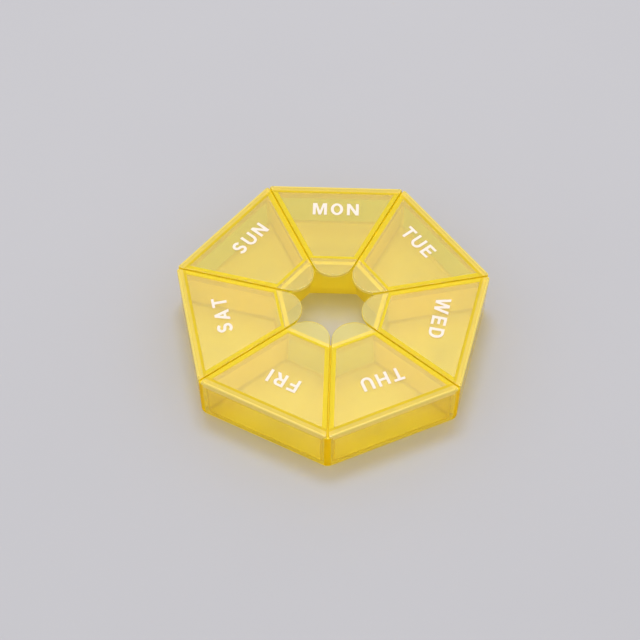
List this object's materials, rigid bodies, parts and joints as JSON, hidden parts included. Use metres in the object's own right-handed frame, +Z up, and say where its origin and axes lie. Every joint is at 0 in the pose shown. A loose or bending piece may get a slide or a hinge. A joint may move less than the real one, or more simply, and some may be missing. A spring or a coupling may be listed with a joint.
{
  "type": "weekly pill box",
  "caption": "Flat many-sided ring box for tablets: a pocket and a hinged lid for each day of the week, with a finger tab on each lid over the open centre.",
  "frame": {"origin": "on the ground plane, under the middle of the closed box's bounding box; the centre of the hole is 2.32 mm from it towards +Y", "axes": "+Z up; +Y points out through the first day's side wall; the days follow clockwise seen from above"},
  "size_m": [0.1008, 0.0984, 0.0182],
  "materials": {
    "tray_plastic": "translucent yellow moulded polypropylene, satin gloss",
    "lid_plastic": "translucent yellow moulded polypropylene, thin, with a faint milky haze",
    "hinge_plastic": "translucent yellow moulded polypropylene, thinned to bend",
    "day_print": "off-white printed ink"
  },
  "bodies": {
    "tray": {"tray": "tray_plastic", "hinge_mon": "hinge_plastic", "hinge_tue": "hinge_plastic", "hinge_wed": "hinge_plastic", "hinge_thu": "hinge_plastic", "hinge_fri": "hinge_plastic", "hinge_sat": "hinge_plastic", "hinge_sun": "hinge_plastic"},
    "lid_mon": {"lid_mon": "lid_plastic"},
    "lid_tue": {"lid_tue": "lid_plastic"},
    "lid_wed": {"lid_wed": "lid_plastic"},
    "lid_thu": {"lid_thu": "lid_plastic"},
    "lid_fri": {"lid_fri": "lid_plastic"},
    "lid_sat": {"lid_sat": "lid_plastic"},
    "lid_sun": {"lid_sun": "lid_plastic"}
  },
  "joints": [
    {"name": "lid_mon_hinge", "type": "hinge", "parent": "tray", "child": "lid_mon", "pos_m": [0, 0.04917, 0.01695], "axis": [-1, 0, 0], "range_deg": [0, 170], "deforming": ["hinge_mon"]},
    {"name": "lid_tue_hinge", "type": "hinge", "parent": "tray", "child": "lid_tue", "pos_m": [0.03663, 0.03153, 0.01695], "axis": [-0.6235, 0.7818, 0], "range_deg": [0, 170], "deforming": ["hinge_tue"]},
    {"name": "lid_wed_hinge", "type": "hinge", "parent": "tray", "child": "lid_wed", "pos_m": [0.04568, -0.00811, 0.01695], "axis": [0.2225, 0.9749, 0], "range_deg": [0, 170], "deforming": ["hinge_wed"]},
    {"name": "lid_thu_hinge", "type": "hinge", "parent": "tray", "child": "lid_thu", "pos_m": [0.02033, -0.03989, 0.01695], "axis": [0.901, 0.4339, 0], "range_deg": [0, 170], "deforming": ["hinge_thu"]},
    {"name": "lid_fri_hinge", "type": "hinge", "parent": "tray", "child": "lid_fri", "pos_m": [-0.02033, -0.03989, 0.01695], "axis": [0.901, -0.4339, 0], "range_deg": [0, 170], "deforming": ["hinge_fri"]},
    {"name": "lid_sat_hinge", "type": "hinge", "parent": "tray", "child": "lid_sat", "pos_m": [-0.04568, -0.00811, 0.01695], "axis": [0.2225, -0.9749, 0], "range_deg": [0, 170], "deforming": ["hinge_sat"]},
    {"name": "lid_sun_hinge", "type": "hinge", "parent": "tray", "child": "lid_sun", "pos_m": [-0.03663, 0.03153, 0.01695], "axis": [-0.6235, -0.7818, 0], "range_deg": [0, 170], "deforming": ["hinge_sun"]}
  ]
}
